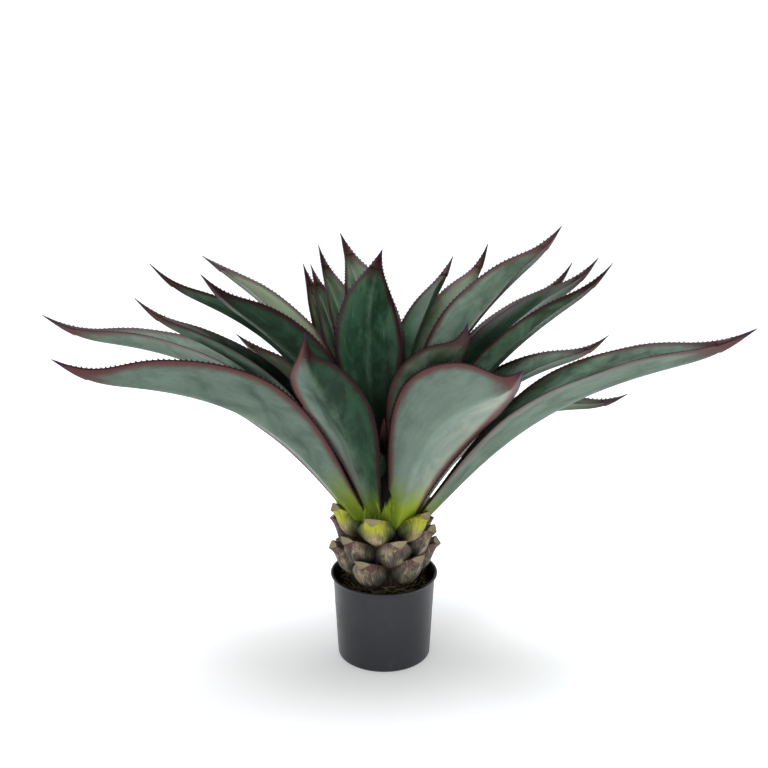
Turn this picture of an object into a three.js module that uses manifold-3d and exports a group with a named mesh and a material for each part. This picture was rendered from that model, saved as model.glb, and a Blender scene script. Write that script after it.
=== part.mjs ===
// Potted red edge aloe: a crown of long V-channelled leaves with saw-toothed margins on a short
// trunk of cut leaf stubs, standing in a plain round pot.
// Millimetres, +Z up. The origin is the centre of the pot's flat base.

import * as THREE from 'three';
import { mergeVertices } from 'three/addons/utils/BufferGeometryUtils.js';
import Module from 'manifold-3d';

const wasm = await Module();
wasm.setup();

// Pot
const POT_HEIGHT = 125;
const RIM_RADIUS = 75;
const RIM_DEPTH = 2.2;
const LIP_ROUNDING = 0.8;
const BODY_TOP_RADIUS = 71.5;
const BODY_FOOT_RADIUS = 65.5;
const FOOT_ROUNDING = 4;
const FOOT_BEVEL_SHARE = 0.3;
const POT_WALL = 2.5;
const POT_FLOOR = 4;
const POT_SIDES = 48;

// Clearance between two pieces that touch, and how far the trunk grows before it cuts the leaves
const SEAT_GAP = 0.3;
const CUT_GAP = 0.6;

// Planting fill
const FILL_TOP = 104;
const FILL_SIDES = 32;

// Trunk with its rounded heart, where the leaves are rooted, and the furled spike of the youngest leaf
const STEM_FOOT = 40;
const STEM_FOOT_RADIUS = 45;
const STEM_RADIUS = 48;
const HEART_BASE = 215;
const HEART_TOP = 300;
const HEART_RINGS = 5;
const SPIKE_RADIUS = 8;
const SPIKE_WAIST_RADIUS = 6.4;
const SPIKE_WAIST = 325;
const SPIKE_TOP = 352;
const STEM_SIDES = 24;

// Cut leaf stubs, row by row from the top: azimuth and height of the cut face
const STUBS = [
  [-155, 237], [-102, 234], [-40, 232], [33, 224], [75, 240], [115, 233], [160, 241],
  [-134, 198], [-74, 201], [-26, 206], [27, 197], [78, 204], [129, 197], [164, 203],
  [-163, 177], [-114, 169], [-50, 172], [-6, 177], [50, 166], [103, 168], [150, 162],
];

// Rings of one stub from its foot to its cut face: drop below the cut, radius of the keel,
// drop of the keel, radius and half width of the shoulders, radius and half width of the corners
const STUB_RINGS = [
  [50, 50, 0, 47, 6, 41, 8],
  [40, 61, 0, 54, 15, 41, 19],
  [27, 68, 0, 58, 22, 42, 27],
  [16, 72, 0, 61, 16, 46, 20],
  [7, 76, 3.5, 67, 9, 58, 12],
  [0, 80, 6.5, 76, 5, 73, 8],
];

// Shape shared by all leaves: shares are of the leaf's length or of its half width
const LEAF_STATIONS = 12;
const CURVE_STEPS = 240;
const LAST_STATION = 0.985;
const ROOT_SINK = 6;
const BASE_WIDTH_SHARE = 0.3;
const WIDEST_AT = 0.52;
const TAPER_FROM = 0.5;
const TAPER_POWER = 1.75;
const TAPER_HOLLOW = 0.3;
const HOLLOW_FROM = 0.45;
const DROOP_FROM = 0.12;
const DROOP_TO = 0.85;
const CURL_FROM = 0.8;
const SWEEP_POWER = 1.5;
const TIP_FOLD_SHARE = 0.45;
const TIP_FOLD_FROM = 0.6;
const KEEL_FOLD = 1.3;
const FOLD_EASE = 0.6;
const MID_COLUMN = 0.55;
const KEEL_THICKNESS = 3.4;
const MID_THICKNESS = 1.8;
const TIP_THICKNESS_SHARE = 0.4;

// Saw teeth of true height, set wider apart than on the real leaf
const TOOTH_PITCH = 12.5;
const TOOTH_HEIGHT = 2.2;
const TOOTH_LEAN = 0.62;
const TEETH_FROM = 0.1;
const TEETH_TO = 0.96;

// One row for each leaf, in degrees and millimetres: the leaves seen from the front, then three at
// the rear, then four young ones round the spike. root: azimuth of the root, height: height of
// the root, heading: azimuth the leaf points to, rise: slope at the root, droop: slope lost along
// the arch, curl: slope regained at the tip, sweep: turn to the side, length, width, roll: turn
// about the leaf's own axis, fold: slope of each half of the V.
const LEAF_COLUMNS = ['root', 'height', 'heading', 'rise', 'droop', 'curl', 'sweep', 'length',
  'width', 'roll', 'fold'];
const LEAVES = [
  [-126, 199, -158.3, 55.3, 43, 30, 0, 512, 112, 46, 36],
  [-178, 200, 172, 56, 50, 30, 0, 540, 98, 8, 38],
  [-152, 220, 173, 62, 38, 25, 0, 431, 86, 11, 30],
  [-178, 243.5, 177, 71, 46, 26, 0, 436, 90, 20, 27],
  [-127, 253, -155, 69.5, 30, 20, 0, 402, 90, -36, 34],
  [160, 275, 147, 61.5, 35, 3, 0, 398, 72, 9, 32],
  [-106, 207, -142, 72, 30, 40, 56, 376, 96, 24, 28],
  [-69, 199, -56, 68.7, 43, 30, 0, 408, 148, -43, 34],
  [-23, 190, -15, 50, 30, 23, 0, 550, 131, 0, 37],
  [28, 190, 7, 56, 56, 32, 0, 376, 80, 0, 34],
  [-45, 228.5, -57, 84, 50, 38, -14, 362, 94, -15, 28],
  [2, 220, 12, 61, 46, 32, 0, 374, 84, 0, 34],
  [-18, 244, 8, 61.5, 27, 22, 0, 422, 64, 8, 38],
  [28, 259, 26, 54.5, 28, 28, 0, 423, 90, -10, 36],
  [38, 272, 31, 63, 30, 22, 0, 420, 98, 0, 38],
  [54, 225, 38, 55, 32, 34, 0, 446, 80, 0, 34],
  [74, 244, 55, 63, 33, 40, 0, 400, 86, -8, 32],
  [70, 267, 63, 71.5, 40, 22, 0, 342, 78, -34, 34],
  [122, 278, 108, 78, 29, 10, -46, 312, 102, 0, 26],
  [112, 258, 90, 74.5, 38, 28, 32, 373, 98, 12, 28],
  [121, 242, 111, 71, 37, 25, 0, 380, 70, 11, 34],
  [126, 203, 112, 65, 36, 24, 0, 412, 75, 0, 34],
  [133, 220, 110, 67, 36, 18, 0, 386, 74, 10, 34],
  [162, 210, 147, 66.6, 38, 10, 0, 315, 70, 0, 32],
  [80, 198, 86, 50, 50, 24, 0, 400, 92, 0, 34],
  [145, 192, 142, 50, 52, 20, 0, 380, 84, 0, 34],
  [54, 200, 56, 53, 50, 24, 0, 400, 88, 0, 34],
  [-152, 278, -150, 85, 12, 6, 0, 90, 34, 0, 42],
  [-104, 266, -104, 84, 12, 6, 0, 60, 34, 0, 42],
  [-25, 276, -25, 84, 14, 6, 0, 94, 36, 0, 42],
  [15, 284, 12, 85, 12, 6, 0, 80, 30, 0, 44],
];

const smooth = (from, to, value) => THREE.MathUtils.smoothstep(value, from, to);
const radians = THREE.MathUtils.degToRad;

// Build a boolean solid from a list of points and a list of triangles
function solidFrom(points, triangles) {
  const vertProperties = new Float32Array(points.flatMap((p) => [p.x, p.y, p.z]));
  const triVerts = new Uint32Array(triangles.flat());
  return new wasm.Manifold(new wasm.Mesh({ numProp: 3, vertProperties, triVerts }));
}

// Turn a closed outline of [radius, height] pairs round the Z axis
function turned(outline, sides) {
  const lathe = new THREE.LatheGeometry(outline.map(([r, z]) => new THREE.Vector2(r, z)), sides);
  lathe.rotateX(Math.PI / 2);
  lathe.deleteAttribute('normal');
  lathe.deleteAttribute('uv');
  const merged = mergeVertices(lathe, 1e-3);
  const points = [];
  for (let i = 0; i < merged.attributes.position.count; i += 1) {
    points.push(new THREE.Vector3().fromBufferAttribute(merged.attributes.position, i));
  }
  const triangles = [];
  for (let i = 0; i < merged.index.count; i += 3) {
    const [a, b, c] = merged.index.array.slice(i, i + 3);
    if (a !== b && b !== c && c !== a) {
      triangles.push([a, b, c]);
    }
  }
  return solidFrom(points, triangles);
}

// Keep the largest piece of a cut solid
function largest(solid) {
  const pieces = solid.decompose();
  return pieces.reduce((best, piece) => (piece.volume() > best.volume() ? piece : best));
}

function addMesh(parent, name, solid, material) {
  const { vertProperties, triVerts } = solid.getMesh();
  const geometry = new THREE.BufferGeometry();
  geometry.setAttribute('position', new THREE.BufferAttribute(vertProperties, 3));
  geometry.setIndex(new THREE.BufferAttribute(triVerts, 1));
  geometry.computeVertexNormals();
  const mesh = new THREE.Mesh(geometry, material);
  mesh.name = name;
  parent.add(mesh);
}

// Pot: tapered body, thin lip that overhangs it, rounded foot, open top
function potSolid() {
  const lipBottom = POT_HEIGHT - RIM_DEPTH;
  const insideTop = RIM_RADIUS - POT_WALL - LIP_ROUNDING;
  const insideFoot = BODY_FOOT_RADIUS - POT_WALL;
  const bevel = FOOT_BEVEL_SHARE * FOOT_ROUNDING;
  return turned([
    [0, 0],
    [BODY_FOOT_RADIUS - FOOT_ROUNDING, 0],
    [BODY_FOOT_RADIUS - bevel, bevel],
    [BODY_FOOT_RADIUS, FOOT_ROUNDING],
    [BODY_TOP_RADIUS, lipBottom - LIP_ROUNDING],
    [RIM_RADIUS, lipBottom],
    [RIM_RADIUS, POT_HEIGHT - LIP_ROUNDING],
    [RIM_RADIUS - LIP_ROUNDING, POT_HEIGHT],
    [insideTop, POT_HEIGHT],
    [BODY_TOP_RADIUS - POT_WALL, lipBottom - RIM_DEPTH],
    [insideFoot, POT_FLOOR],
    [0, POT_FLOOR],
  ], POT_SIDES);
}

// Radius of the pot's cavity at a height below the lip
function cavityRadius(z) {
  const slope = (BODY_TOP_RADIUS - BODY_FOOT_RADIUS) / (POT_HEIGHT - 2 * RIM_DEPTH - POT_FLOOR);
  return BODY_FOOT_RADIUS - POT_WALL + slope * (z - POT_FLOOR);
}

// Planting fill with a plain hole for the trunk
function fillSolid() {
  const bottom = POT_FLOOR + SEAT_GAP;
  const hole = STEM_FOOT_RADIUS + SEAT_GAP;
  const facetLoss = Math.cos(Math.PI / FILL_SIDES);
  return turned([
    [0, bottom],
    [cavityRadius(bottom) - 2 * SEAT_GAP, bottom],
    [cavityRadius(FILL_TOP) - 2 * SEAT_GAP, FILL_TOP],
    [hole / facetLoss, FILL_TOP],
    [hole / facetLoss, STEM_FOOT],
    [0, STEM_FOOT],
  ], FILL_SIDES);
}

function stemRadius(z) {
  const share = Math.max((z - HEART_BASE) / (HEART_TOP - HEART_BASE), 0);
  return STEM_RADIUS * Math.sqrt(Math.max(1 - share * share, 0));
}

// Trunk core with its heart and spike, grown outwards by a clearance
function stemSolid(grow) {
  const outline = [
    [0, STEM_FOOT + SEAT_GAP],
    [STEM_FOOT_RADIUS, STEM_FOOT + SEAT_GAP],
    [STEM_FOOT_RADIUS, FILL_TOP + SEAT_GAP],
    [STEM_RADIUS + grow, FILL_TOP + SEAT_GAP],
    [STEM_RADIUS + grow, HEART_BASE],
  ];
  for (let ring = 1; ring < HEART_RINGS; ring += 1) {
    const turn = (ring / HEART_RINGS) * (Math.PI / 2);
    const z = HEART_BASE + (HEART_TOP - HEART_BASE) * Math.sin(turn);
    outline.push([stemRadius(z) + grow, z + grow]);
  }
  outline.push([SPIKE_RADIUS + grow, HEART_TOP + grow]);
  outline.push([SPIKE_WAIST_RADIUS + grow, SPIKE_WAIST]);
  outline.push([0, SPIKE_TOP + grow]);
  return turned(outline, STEM_SIDES);
}

// One cut leaf stub, grown outwards by a clearance
function stubSolid(azimuth, top, grow) {
  const points = [];
  const place = (radius, side, z) => {
    const angle = azimuth + side / STEM_RADIUS;
    const r = radius + grow;
    points.push(new THREE.Vector3(r * Math.cos(angle), r * Math.sin(angle), z));
  };
  for (const [drop, keel, keelDrop, shoulder, shoulderHalf, corner, cornerHalf] of STUB_RINGS) {
    const z = top - drop + grow;
    place(corner, -cornerHalf - grow, z);
    place(shoulder, -shoulderHalf - grow, z - keelDrop / 2);
    place(keel, 0, z - keelDrop);
    place(shoulder, shoulderHalf + grow, z - keelDrop / 2);
    place(corner, cornerHalf + grow, z);
  }
  const around = points.length / STUB_RINGS.length;
  const triangles = [];
  for (let ring = 0; ring < STUB_RINGS.length - 1; ring += 1) {
    for (let i = 0; i < around; i += 1) {
      const a = ring * around + i;
      const b = ring * around + ((i + 1) % around);
      triangles.push([a, b, b + around], [a, b + around, a + around]);
    }
  }
  const last = (STUB_RINGS.length - 1) * around;
  for (let i = 1; i < around - 1; i += 1) {
    triangles.push([0, i + 1, i], [last, last + i, last + i + 1]);
  }
  return solidFrom(points, triangles);
}

// Trunk: core, heart and stubs grown together
function trunkSolid(grow) {
  const stubs = STUBS.map(([azimuth, top]) => stubSolid(radians(azimuth), top, grow));
  return stubs.reduce((trunk, stub) => trunk.add(stub), stemSolid(grow));
}

// Centre line of a leaf with its tangent, side and upper normal at any share of its length
function leafCurve(leaf) {
  const frameAt = (s) => {
    const slope = radians(leaf.rise - leaf.droop * smooth(DROOP_FROM, DROOP_TO, s)
      + leaf.curl * smooth(CURL_FROM, 1, s));
    const azimuth = radians(leaf.heading + leaf.sweep * s ** SWEEP_POWER);
    const tangent = new THREE.Vector3(
      Math.cos(slope) * Math.cos(azimuth),
      Math.cos(slope) * Math.sin(azimuth),
      Math.sin(slope),
    );
    const side = new THREE.Vector3(-Math.sin(azimuth), Math.cos(azimuth), 0);
    side.applyAxisAngle(tangent, radians(leaf.roll));
    return { tangent, side, normal: new THREE.Vector3().crossVectors(tangent, side) };
  };
  const rootRadius = stemRadius(leaf.height) - ROOT_SINK;
  const rootAzimuth = radians(leaf.root);
  const points = [new THREE.Vector3(
    rootRadius * Math.cos(rootAzimuth),
    rootRadius * Math.sin(rootAzimuth),
    leaf.height,
  )];
  for (let i = 0; i < CURVE_STEPS; i += 1) {
    const { tangent } = frameAt((i + 0.5) / CURVE_STEPS);
    points.push(points[i].clone().addScaledVector(tangent, leaf.length / CURVE_STEPS));
  }
  return (s) => {
    const index = Math.min(Math.floor(s * CURVE_STEPS), CURVE_STEPS - 1);
    const point = points[index].clone().lerp(points[index + 1], s * CURVE_STEPS - index);
    return { point, ...frameAt(s) };
  };
}

function halfWidth(leaf, s) {
  const grown = BASE_WIDTH_SHARE + (1 - BASE_WIDTH_SHARE) * smooth(0, WIDEST_AT, s);
  const past = Math.max((s - TAPER_FROM) / (1 - TAPER_FROM), 0);
  const hollow = 1 - TAPER_HOLLOW * smooth(HOLLOW_FROM, 1, past);
  return (leaf.width / 2) * grown * (1 - past ** TAPER_POWER) * hollow;
}

function foldAt(leaf, s) {
  return radians(leaf.fold * (1 + TIP_FOLD_SHARE * smooth(TIP_FOLD_FROM, 1, s)));
}

// Point of the blade's middle surface: v runs from 0 at the keel to 1 at the margin
function bladePoint(leaf, curve, s, v, hand, beyond = 0) {
  const { point, side, normal } = curve(s);
  const fold = foldAt(leaf, s);
  const steep = KEEL_FOLD * fold;
  const ease = FOLD_EASE * fold;
  const slope = steep - ease * v;
  const reach = halfWidth(leaf, s);
  const across = (reach * (Math.sin(steep) - Math.sin(slope))) / ease + beyond * Math.cos(slope);
  const upward = (reach * (Math.cos(slope) - Math.cos(steep))) / ease + beyond * Math.sin(slope);
  const place = point.addScaledVector(side, hand * across).addScaledVector(normal, upward);
  const facing = normal.clone().multiplyScalar(Math.cos(slope));
  facing.addScaledVector(side, -hand * Math.sin(slope));
  return { place, facing: v === 0 ? normal : facing };
}

// Shares of the length and heights of the margin's points: valleys and tips of the saw teeth
function marginSteps(leaf) {
  const teeth = Math.round((leaf.length * (TEETH_TO - TEETH_FROM)) / TOOTH_PITCH);
  const step = (TEETH_TO - TEETH_FROM) / teeth;
  const steps = [[0, 0], [TEETH_FROM / 2, 0], [TEETH_FROM, 0]];
  for (let tooth = 0; tooth < teeth; tooth += 1) {
    const start = TEETH_FROM + tooth * step;
    steps.push([start + TOOTH_LEAN * step, TOOTH_HEIGHT], [start + step, 0]);
  }
  steps.push([LAST_STATION, 0]);
  return steps;
}

// One leaf: keel, one column on each half and the toothed margins, alike on both faces
function leafSolid(leaf) {
  const curve = leafCurve(leaf);
  const points = [];
  const triangles = [];
  const add = (point) => points.push(point) - 1;
  const apex = add(curve(1).point);

  const column = (v, hand, thickness) => {
    const upper = [];
    const lower = [];
    for (let i = 0; i <= LEAF_STATIONS; i += 1) {
      const s = (i / LEAF_STATIONS) * LAST_STATION;
      const half = (thickness / 2) * (1 - (1 - TIP_THICKNESS_SHARE) * s);
      const { place, facing } = bladePoint(leaf, curve, s, v, hand);
      upper.push([s, add(place.clone().addScaledVector(facing, half))]);
      lower.push([s, add(place.clone().addScaledVector(facing, -half))]);
    }
    upper.push([1, apex]);
    lower.push([1, apex]);
    return { upper, lower };
  };

  // Fill the strip between two rows of points with triangles, advancing whichever lies behind
  const strip = (inner, outer, flip) => {
    let i = 0;
    let j = 0;
    while (i < inner.length - 1 || j < outer.length - 1) {
      const innerNext = i < inner.length - 1 ? inner[i + 1][0] : Infinity;
      const outerNext = j < outer.length - 1 ? outer[j + 1][0] : Infinity;
      let triangle;
      if (innerNext <= outerNext) {
        triangle = [inner[i][1], inner[i + 1][1], outer[j][1]];
        i += 1;
      } else {
        triangle = [inner[i][1], outer[j + 1][1], outer[j][1]];
        j += 1;
      }
      if (new Set(triangle).size === 3) {
        triangles.push(flip ? triangle.reverse() : triangle);
      }
    }
  };

  const keel = column(0, 1, KEEL_THICKNESS);
  for (const hand of [1, -1]) {
    const middle = column(MID_COLUMN, hand, MID_THICKNESS);
    const margin = marginSteps(leaf).map(([s, beyond]) => (
      [s, add(bladePoint(leaf, curve, s, 1, hand, beyond).place)]
    ));
    margin.push([1, apex]);
    strip(keel.upper, middle.upper, hand < 0);
    strip(middle.upper, margin, hand < 0);
    strip(keel.lower, middle.lower, hand > 0);
    strip(middle.lower, margin, hand > 0);
    const cap = [
      [keel.upper[0][1], middle.upper[0][1], middle.lower[0][1]],
      [keel.upper[0][1], middle.lower[0][1], keel.lower[0][1]],
      [middle.upper[0][1], margin[0][1], middle.lower[0][1]],
    ];
    triangles.push(...cap.map((triangle) => (hand < 0 ? triangle.reverse() : triangle)));
  }
  return solidFrom(points, triangles);
}

const potMaterial = new THREE.MeshStandardMaterial({ color: 0x2b2c31, roughness: 0.45, metalness: 0 });
const fillMaterial = new THREE.MeshStandardMaterial({ color: 0x1c1916, roughness: 0.95, metalness: 0 });
const trunkMaterial = new THREE.MeshStandardMaterial({ color: 0x7d6f5f, roughness: 0.8, metalness: 0 });
const leafMaterial = new THREE.MeshStandardMaterial({ color: 0x3c5c4c, roughness: 0.5, metalness: 0 });

const group = new THREE.Group();
addMesh(group, 'pot', potSolid(), potMaterial);
addMesh(group, 'planting_fill', fillSolid(), fillMaterial);
addMesh(group, 'trunk', trunkSolid(0), trunkMaterial);

const clearance = trunkSolid(CUT_GAP);
LEAVES.forEach((row, index) => {
  const leaf = Object.fromEntries(LEAF_COLUMNS.map((column, i) => [column, row[i]]));
  const name = `leaf_${String(index + 1).padStart(2, '0')}`;
  addMesh(group, name, largest(leafSolid(leaf).subtract(clearance)), leafMaterial);
});

export default group;
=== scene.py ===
"""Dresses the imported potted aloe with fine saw-toothed leaves, cut stubs, pot, fill and studio."""

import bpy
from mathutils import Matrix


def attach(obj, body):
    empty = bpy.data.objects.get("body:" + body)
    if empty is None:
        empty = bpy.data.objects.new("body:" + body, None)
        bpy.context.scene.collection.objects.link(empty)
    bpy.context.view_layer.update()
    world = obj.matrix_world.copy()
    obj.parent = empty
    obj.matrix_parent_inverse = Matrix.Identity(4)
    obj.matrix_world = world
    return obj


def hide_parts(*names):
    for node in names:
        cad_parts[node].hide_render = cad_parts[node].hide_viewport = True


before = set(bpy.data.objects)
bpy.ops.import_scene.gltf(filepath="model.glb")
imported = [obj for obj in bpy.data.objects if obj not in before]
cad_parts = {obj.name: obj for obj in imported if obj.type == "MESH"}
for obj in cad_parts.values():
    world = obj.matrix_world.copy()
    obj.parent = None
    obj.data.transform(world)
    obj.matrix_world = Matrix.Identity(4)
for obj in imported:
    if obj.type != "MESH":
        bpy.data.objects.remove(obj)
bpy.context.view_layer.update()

import math

import bpy
import numpy as np
from mathutils import Vector, noise

bl_info = {
    "name": "Potted red edge aloe",
    "version": (1, 0, 0),
    "blender": (4, 5, 0),
    "location": "View3D > Sidebar > Aloe",
    "description": "Builds the leaves, trunk, pot, planting fill and studio round the packed model",
    "category": "Object",
}

MM = 0.001
BODY = "root"

# Places of the colour sockets on Blender's mix node
COLOUR_A = 6
COLOUR_B = 7
COLOUR_RESULT = 2

# Pot, fill and trunk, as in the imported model, in millimetres
POT_HEIGHT = 125
RIM_RADIUS = 75
RIM_DEPTH = 2.2
BODY_TOP_RADIUS = 71.5
BODY_FOOT_RADIUS = 65.5
FOOT_ROUNDING = 4
POT_WALL = 2.5
POT_FLOOR = 4
SEAT_GAP = 0.3
FILL_TOP = 104
STEM_FOOT = 40
STEM_FOOT_RADIUS = 45
STEM_RADIUS = 48
HEART_BASE = 215
HEART_TOP = 300
SPIKE_RADIUS = 8
SPIKE_WAIST_RADIUS = 6.4
SPIKE_WAIST = 325
SPIKE_TOP = 352
STEM_RIDGES = 31

# Azimuth, in half turns, of the gap between the two front leaves, and the share of the trunk's height
# up to which their roots meet there
FRONT_GAP = -0.533
CLASP_FROM = 0.516

# Cut leaf stubs, row by row from the top: azimuth and height of the cut face
STUB_ROWS = [
    [(-155, 237), (-102, 234), (-40, 232), (33, 224), (75, 240), (115, 233), (160, 241)],
    [(-134, 198), (-74, 201), (-26, 206), (27, 197), (78, 204), (129, 197), (164, 203)],
    [(-163, 177), (-114, 169), (-50, 172), (-6, 177), (50, 166), (103, 168), (150, 162)],
]

# Rings of one stub from its foot to its cut face: drop below the cut, radius of the keel,
# drop of the keel, radius and half width of the shoulders, radius and half width of the corners
STUB_RINGS = np.array([
    [50, 50, 0, 47, 6, 41, 8],
    [40, 61, 0, 54, 15, 41, 19],
    [27, 68, 0, 58, 22, 42, 27],
    [16, 72, 0, 61, 16, 46, 20],
    [7, 76, 3.5, 67, 9, 58, 12],
    [0, 80, 6.5, 76, 5, 73, 8],
], float)

# Height and half width of a stub, the rings up it, the points across its front and back, and how
# deep its back is hollowed
STUB_HEIGHT = 50
STUB_HALF_WIDTH = 27
STUB_ROWS_UP = 22
STUB_FRONT = 28
STUB_BACK = 8
STUB_HOLLOW = 3.0

# Shape shared by all leaves: shares are of the leaf's length or of its half width
CURVE_STEPS = 240
ROOT_SINK = 6
BASE_WIDTH_SHARE = 0.3
WIDEST_AT = 0.52
TAPER_FROM = 0.5
TAPER_POWER = 1.75
TAPER_HOLLOW = 0.3
HOLLOW_FROM = 0.45
DROOP_FROM = 0.12
DROOP_TO = 0.85
CURL_FROM = 0.8
SWEEP_POWER = 1.5
TIP_FOLD_SHARE = 0.45
TIP_FOLD_FROM = 0.6
KEEL_FOLD = 1.3
FOLD_EASE = 0.6
KEEL_THICKNESS = 3.4
MID_COLUMN = 0.55
MID_THICKNESS = 1.8
EDGE_THICKNESS = 0.8
TIP_THICKNESS_SHARE = 0.4
TEETH_FROM = 0.08
TEETH_TO = 0.955

# Finer shape of the leaves here: rounded keel, round spine at the tip and gently waved margins
FOLD_STEPS = 100
KEEL_ROUNDING = 0.03
SPINE_RADIUS = 2.1
SPINE_SHARE = 0.1
SPINE_DEPTH_SHARE = 0.9
BASE_RING_GAP = 5
TIP_RINGS = 8
LAST_RING = 0.996
TOOTH_SIZES = (0.7, 1.15)
MARGIN_EDGE = 0.3
EDGE_LABEL = 1.02
SWAY = 0.45
SWAY_WAVES = (13, 31)

# Step from one leaf's place in the skin's pattern to the next leaf's
PATTERN_STEP = 37.0

# Leaves narrower than this have a narrower red band
FULL_BAND_WIDTH = 76

# Columns of a leaf half from the keel to the margin
COLUMNS = np.array([0, 0.05, 0.14, 0.28, 0.44, 0.60, 0.76, 0.88, 0.96, 1])

# One saw tooth: share of the pitch, share of the tooth's height, lean towards the tip
TOOTH_STEPS = [(0.0, 0.0, 0.0), (0.40, 0.10, 0.0), (0.66, 1.0, 0.5), (0.82, 0.08, 0.0)]

# One row for each leaf, in degrees and millimetres: azimuth and height of the root, heading, rise at
# the root, droop along the arch, curl of the tip, sweep to the side, length, width, roll and fold.
LEAVES = np.array([
    [-126, 199, -158.3, 55.3, 43, 30, 0, 512, 112, 46, 36],
    [-178, 200, 172, 56, 50, 30, 0, 540, 98, 8, 38],
    [-152, 220, 173, 62, 38, 25, 0, 431, 86, 11, 30],
    [-178, 243.5, 177, 71, 46, 26, 0, 436, 90, 20, 27],
    [-127, 253, -155, 69.5, 30, 20, 0, 402, 90, -36, 34],
    [160, 275, 147, 61.5, 35, 3, 0, 398, 72, 9, 32],
    [-106, 207, -142, 72, 30, 40, 56, 376, 96, 24, 28],
    [-69, 199, -56, 68.7, 43, 30, 0, 408, 148, -43, 34],
    [-23, 190, -15, 50, 30, 23, 0, 550, 131, 0, 37],
    [28, 190, 7, 56, 56, 32, 0, 376, 80, 0, 34],
    [-45, 228.5, -57, 84, 50, 38, -14, 362, 94, -15, 28],
    [2, 220, 12, 61, 46, 32, 0, 374, 84, 0, 34],
    [-18, 244, 8, 61.5, 27, 22, 0, 422, 64, 8, 38],
    [28, 259, 26, 54.5, 28, 28, 0, 423, 90, -10, 36],
    [38, 272, 31, 63, 30, 22, 0, 420, 98, 0, 38],
    [54, 225, 38, 55, 32, 34, 0, 446, 80, 0, 34],
    [74, 244, 55, 63, 33, 40, 0, 400, 86, -8, 32],
    [70, 267, 63, 71.5, 40, 22, 0, 342, 78, -34, 34],
    [122, 278, 108, 78, 29, 10, -46, 312, 102, 0, 26],
    [112, 258, 90, 74.5, 38, 28, 32, 373, 98, 12, 28],
    [121, 242, 111, 71, 37, 25, 0, 380, 70, 11, 34],
    [126, 203, 112, 65, 36, 24, 0, 412, 75, 0, 34],
    [133, 220, 110, 67, 36, 18, 0, 386, 74, 10, 34],
    [162, 210, 147, 66.6, 38, 10, 0, 315, 70, 0, 32],
    [80, 198, 86, 50, 50, 24, 0, 400, 92, 0, 34],
    [145, 192, 142, 50, 52, 20, 0, 380, 84, 0, 34],
    [54, 200, 56, 53, 50, 24, 0, 400, 88, 0, 34],
    [-152, 278, -150, 85, 12, 6, 0, 90, 34, 0, 42],
    [-104, 266, -104, 84, 12, 6, 0, 60, 34, 0, 42],
    [-25, 276, -25, 84, 14, 6, 0, 94, 36, 0, 42],
    [15, 284, 12, 85, 12, 6, 0, 80, 30, 0, 44],
], float)

# Finish of each leaf, from 0 to 1: how olive it is, how much grey bloom lies on its inner and its
# outer face, partly the wax's own grey and partly painted highlight on faces that catch the light,
# how far the lime green of its root reaches, with painted shade at the roots of leaves with little
# lime, and how much painted light brightens the bloom on the side of its positive margin
FINISHES = np.array([
    [0.00, 0.30, 0.62, 1.0, 0.00],
    [0.15, 0.30, 0.50, 0.4, 0.00],
    [0.00, 0.05, 0.45, 0.3, 0.00],
    [0.00, 0.00, 0.22, 0.3, 0.05],
    [0.00, 0.00, 0.05, 0.3, 0.05],
    [0.75, 0.25, 0.25, 0.3, 0.00],
    [0.00, 0.05, 0.22, 0.85, -0.55],
    [0.00, 0.20, 1.00, 1.0, 0.40],
    [0.10, 0.28, 0.58, 0.75, 0.00],
    [0.55, 0.10, 0.15, 0.3, 0.00],
    [0.30, 0.28, 0.35, 0.5, 0.00],
    [0.10, 0.20, 0.50, 0.4, 0.00],
    [0.10, 0.20, 0.40, 0.4, 0.00],
    [0.00, 0.00, 0.05, 0.3, 0.00],
    [0.15, 0.55, 0.60, 0.3, -0.20],
    [0.40, 0.25, 0.30, 0.3, 0.00],
    [0.60, 0.30, 0.35, 0.3, 0.10],
    [0.00, 0.00, 0.00, 0.3, -0.10],
    [0.00, 0.05, 0.30, 0.2, -0.10],
    [0.30, 0.20, 0.30, 0.3, 0.00],
    [0.30, 0.10, 0.25, 0.3, 0.00],
    [0.50, 0.15, 0.20, 0.3, 0.00],
    [0.30, 0.20, 0.35, 0.3, 0.00],
    [0.60, 0.45, 0.60, 0.3, 0.00],
    [0.20, 0.20, 0.50, 0.4, 0.00],
    [0.30, 0.30, 0.60, 0.4, 0.00],
    [0.10, 0.10, 0.50, 0.4, 0.00],
    [0.00, 0.00, 0.05, 0.0, 0.00],
    [0.00, 0.00, 0.05, 0.0, 0.00],
    [0.00, 0.00, 0.05, 0.0, 0.00],
    [0.00, 0.00, 0.05, 0.0, 0.00],
])

# Dry moss round the trunk's foot and green threads between the leaf roots
MOSS_SEED = 7
MOSS_STEPS = 7
MOSS_FRONT_SHARE = 0.5
MOSS_FRONT_SPREAD = 30
THREAD_SEED = 19
THREAD_STEPS = 8
THREAD_STEP = 2.4
THREAD_AZIMUTHS = [-103, -97, -92, -64, -60, -20, 25, 70, 120, 165, -150, -128]

# Studio, in metres: a flat floor that bends up all round, softboxes and the photo's camera
SWEEP_FLAT = 3.6
SWEEP_BEND = 2.2
SWEEP_COLUMNS = 96
SWEEP_DROP = 0.0005
KEY_PLACE = (0.1, 0.35, 2.3)
KEY_SIZE = (1.9, 1.5)
FRONT_PLACE = (-1.3, -2.4, 1.7)
FRONT_SIZE = (1.2, 1.2)
LIGHT_AIM = (0, 0, 0.3)
WALL_LIGHT_TURN = 45
WALL_LIGHT_SIZE = (1.4, 0.5)
CAMERA_PLACE = (0, -1.64, 0.928)
CAMERA_TILT = 72.2
CAMERA_LENS = 60.05
SENSOR_WIDTH = 36


def srgb(red, green, blue):
    """A display colour, 0 to 255, as the linear values that shaders take."""
    shares = np.array([red, green, blue]) / 255
    linear = np.where(shares <= 0.04045, shares / 12.92, ((shares + 0.055) / 1.055) ** 2.4)
    return tuple(round(float(value), 5) for value in linear)


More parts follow.
